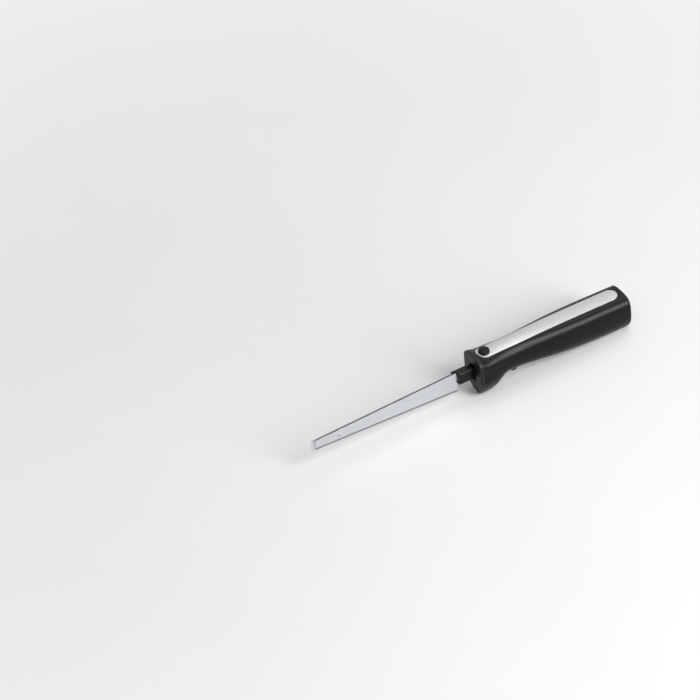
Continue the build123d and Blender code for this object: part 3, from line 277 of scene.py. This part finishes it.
def make_finishes():
    """A material for each of the record's material slots."""
    return {
        "handle_plastic": moulded("satin_black_abs", (0.0024, 0.0024, 0.0030), 0.29, specular=0.18),
        "nose_plastic": moulded("dark_satin", (0.006, 0.006, 0.007), 0.40, specular=0.26),
        "button_plastic": moulded("gloss_black", (0.002, 0.002, 0.0025), 0.22, grain=900.0,
                                  depth=0.00001, edge=0.0007, specular=0.16),
        "strip_steel": brushed("brushed_strip", (0.50, 0.50, 0.495), 0.46),
        "blade_steel": blade_steel("ground_blade"),
        "rivet_steel": metal_part("rivet", (0.45, 0.45, 0.45), 0.25),
        "hilt_plastic": moulded("hilt_black", (0.003, 0.003, 0.0035), 0.33, edge=0.0008, specular=0.2),
        "slider_plastic": moulded("natural_acetal", (0.62, 0.60, 0.55), 0.42),
        "guide_plastic": moulded("grey_nylon", (0.12, 0.12, 0.13), 0.5),
        "spring_steel": metal_part("spring_steel", (0.42, 0.42, 0.44), 0.3),
        "frame_metal": metal_part("cast_frame", (0.42, 0.42, 0.44), 0.45),
        "gear_plastic": moulded("gear_acetal", (0.72, 0.67, 0.55), 0.4),
        "shaft_steel": metal_part("ground_shaft", (0.5, 0.5, 0.52), 0.25),
        "bush_bronze": metal_part("sintered_bronze", (0.45, 0.29, 0.13), 0.45),
        "can_steel": metal_part("zinc_can", (0.42, 0.44, 0.46), 0.35),
        "magnet": moulded("ferrite", (0.045, 0.045, 0.047), 0.6),
        "laminations": brushed("laminations", (0.20, 0.20, 0.21), 0.45,
                               stretch=(1, 0.05, 0.05), scale=2400.0),
        "copper": brushed("enamelled_copper", (0.62, 0.25, 0.11), 0.35,
                          stretch=(1, 0.1, 0.1), scale=1800.0),
        "cap_plastic": moulded("black_nylon", (0.03, 0.03, 0.032), 0.5),
        "carbon": moulded("carbon", (0.02, 0.02, 0.021), 0.55),
        "brass_part": metal_part("stamped_brass", (0.60, 0.42, 0.16), 0.3),
        "board": moulded("green_board", (0.03, 0.14, 0.05), 0.4),
        "component_black": moulded("component_black", (0.02, 0.02, 0.021), 0.35),
        "component_yellow": moulded("film_capacitor", (0.60, 0.40, 0.04), 0.4),
        "insulation": moulded("lead_insulation", (0.17, 0.02, 0.02), 0.45),
        "gland_rubber": moulded("black_rubber", (0.014, 0.014, 0.014), 0.6),
        "screw_steel": metal_part("screw_zinc", (0.5, 0.5, 0.5), 0.32),
    }


def dress_pieces():
    finishes = make_finishes()
    for entry in record["subparts"]:
        piece = nodes[entry["node"]]
        piece.data.materials.clear()
        piece.data.materials.append(finishes[entry["material_slot"]])


def background_rays(tree):
    """One for the rays that see the background, and nothing for those that light the object."""
    path = tree.nodes.new("ShaderNodeLightPath")
    seen = path.outputs["Is Camera Ray"]
    for ray in ("Is Glossy Ray", "Is Transmission Ray"):
        either = tree.nodes.new("ShaderNodeMath")
        either.operation = "MAXIMUM"
        tree.links.new(seen, either.inputs[0])
        tree.links.new(path.outputs[ray], either.inputs[1])
        seen = either.outputs["Value"]
    return seen


def floor_finish():
    """A pale floor that shows the shadow near the object and fades to white around it."""
    s = Shader("pale_floor", FLOOR_ROUGHNESS, specular=FLOOR_SPECULAR)
    s.colour(s.ramp(s.noise(FLOOR_NOISE, COARSE), *FLOOR_GREYS))
    distance = s.tree.nodes.new("ShaderNodeVectorMath")
    distance.operation = "LENGTH"
    s.join(s.geometry("Position"), distance.inputs[0])
    far = s.spread(distance.outputs["Value"], 0.0, 1.0, FADE_START, FADE_STOP, smooth=True)
    share = s.tree.nodes.new("ShaderNodeMath")
    share.operation = "MULTIPLY"
    s.join(far, share.inputs[0])
    s.join(background_rays(s.tree), share.inputs[1])
    white = s.tree.nodes.new("ShaderNodeEmission")
    white.inputs["Color"].default_value = WHITE
    white.inputs["Strength"].default_value = BACKDROP
    mixer = s.tree.nodes.new("ShaderNodeMixShader")
    s.join(share.outputs["Value"], mixer.inputs["Fac"])
    s.join(s.bsdf.outputs["BSDF"], mixer.inputs[1])
    s.join(white.outputs["Emission"], mixer.inputs[2])
    s.join(mixer.outputs["Shader"], s.tree.nodes["Material Output"].inputs["Surface"])
    return s.material


def make_floor():
    half = FLOOR_SIZE / 2
    corners = [(-half, -half, 0), (half, -half, 0), (half, half, 0), (-half, half, 0)]
    mesh = bpy.data.meshes.new("floor")
    mesh.from_pydata(corners, [], [(0, 1, 2, 3)])
    mesh.materials.append(floor_finish())
    floor = bpy.data.objects.new("floor", mesh)
    scene.collection.objects.link(floor)


def softbox(name, place, aim, width, height, energy):
    """The tall low one draws the highlight along the handle, and the top one lights the strip."""
    data = bpy.data.lights.new(name, "AREA")
    data.shape = "RECTANGLE"
    data.size = width
    data.size_y = height
    data.energy = energy
    lamp = bpy.data.objects.new(name, data)
    lamp.location = place
    lamp.rotation_euler = (Vector(aim) - Vector(place)).to_track_quat("-Z", "Y").to_euler()
    scene.collection.objects.link(lamp)


def backdrop(tree, strength):
    node = tree.nodes.new("ShaderNodeBackground")
    node.inputs["Color"].default_value = WHITE
    node.inputs["Strength"].default_value = strength
    return node.outputs["Background"]


def make_world():
    """White where it is seen, and a weaker fill light on the object."""
    world = bpy.data.worlds.new("studio")
    scene.world = world
    world.use_nodes = True
    tree = world.node_tree
    tree.nodes.clear()
    out = tree.nodes.new("ShaderNodeOutputWorld")
    mixer = tree.nodes.new("ShaderNodeMixShader")
    tree.links.new(background_rays(tree), mixer.inputs["Fac"])
    tree.links.new(backdrop(tree, WORLD_LIGHT), mixer.inputs[1])
    tree.links.new(backdrop(tree, BACKDROP), mixer.inputs[2])
    tree.links.new(mixer.outputs["Shader"], out.inputs["Surface"])


make_camera()
dress_pieces()
make_floor()
for lamp_row in LAMPS:
    softbox(*lamp_row)
make_world()
scene.view_settings.view_transform = "Standard"

bpy.context.view_layer.update()
